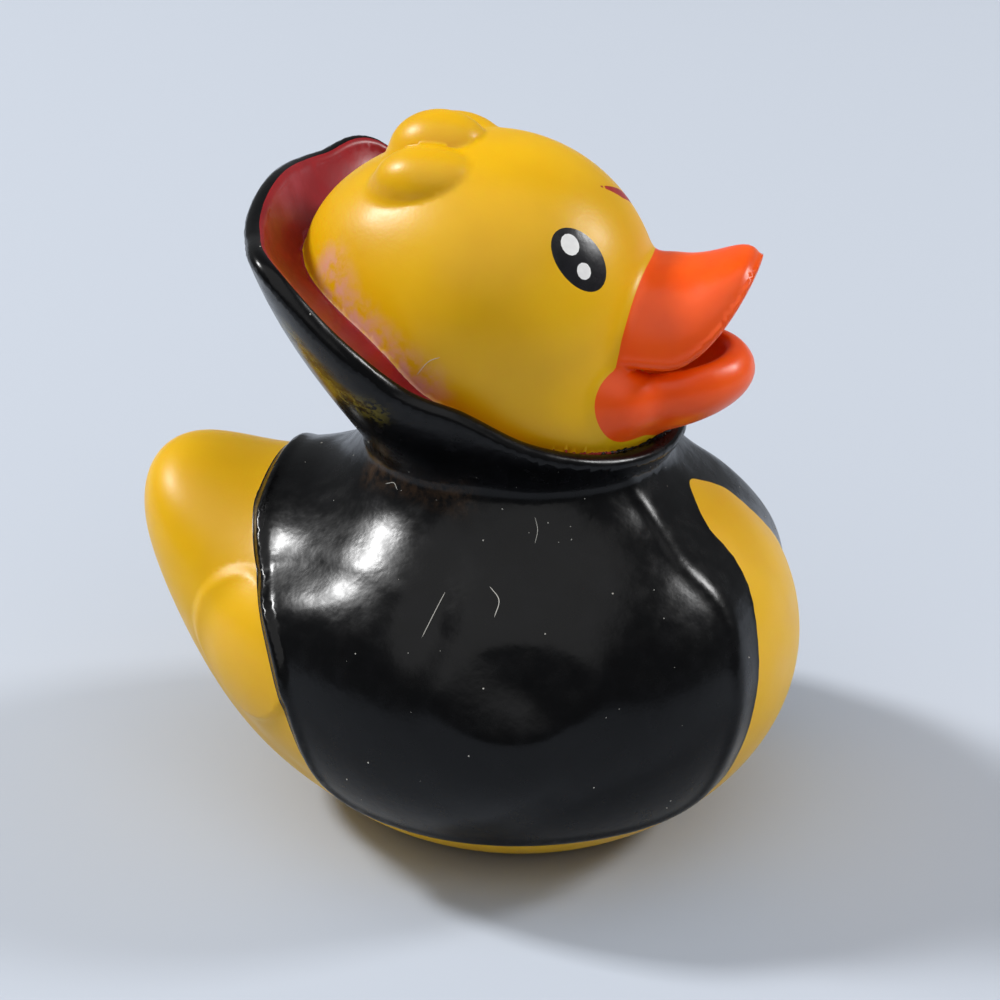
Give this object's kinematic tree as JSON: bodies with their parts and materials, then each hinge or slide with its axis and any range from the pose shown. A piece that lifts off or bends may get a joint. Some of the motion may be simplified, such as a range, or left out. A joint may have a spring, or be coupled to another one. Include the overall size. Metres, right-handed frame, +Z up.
{
  "type": "rubber duck",
  "caption": "Hollow vinyl bath duck with a moulded black cape and a tall flared collar, open orange bill and printed eyes.",
  "frame": {"origin": "on the ground under the middle of the bounding box", "axes": "+X forward, the way the bill points; +Y to the duck's left; +Z up"},
  "size_m": [0.0756, 0.0672, 0.0812],
  "materials": {
    "vinyl": "satin rotocast PVC, yellow, with sprayed black cape, crimson collar lining, orange bill and printed eyes"
  },
  "bodies": {
    "root": {"duck": "vinyl"}
  },
  "joints": []
}
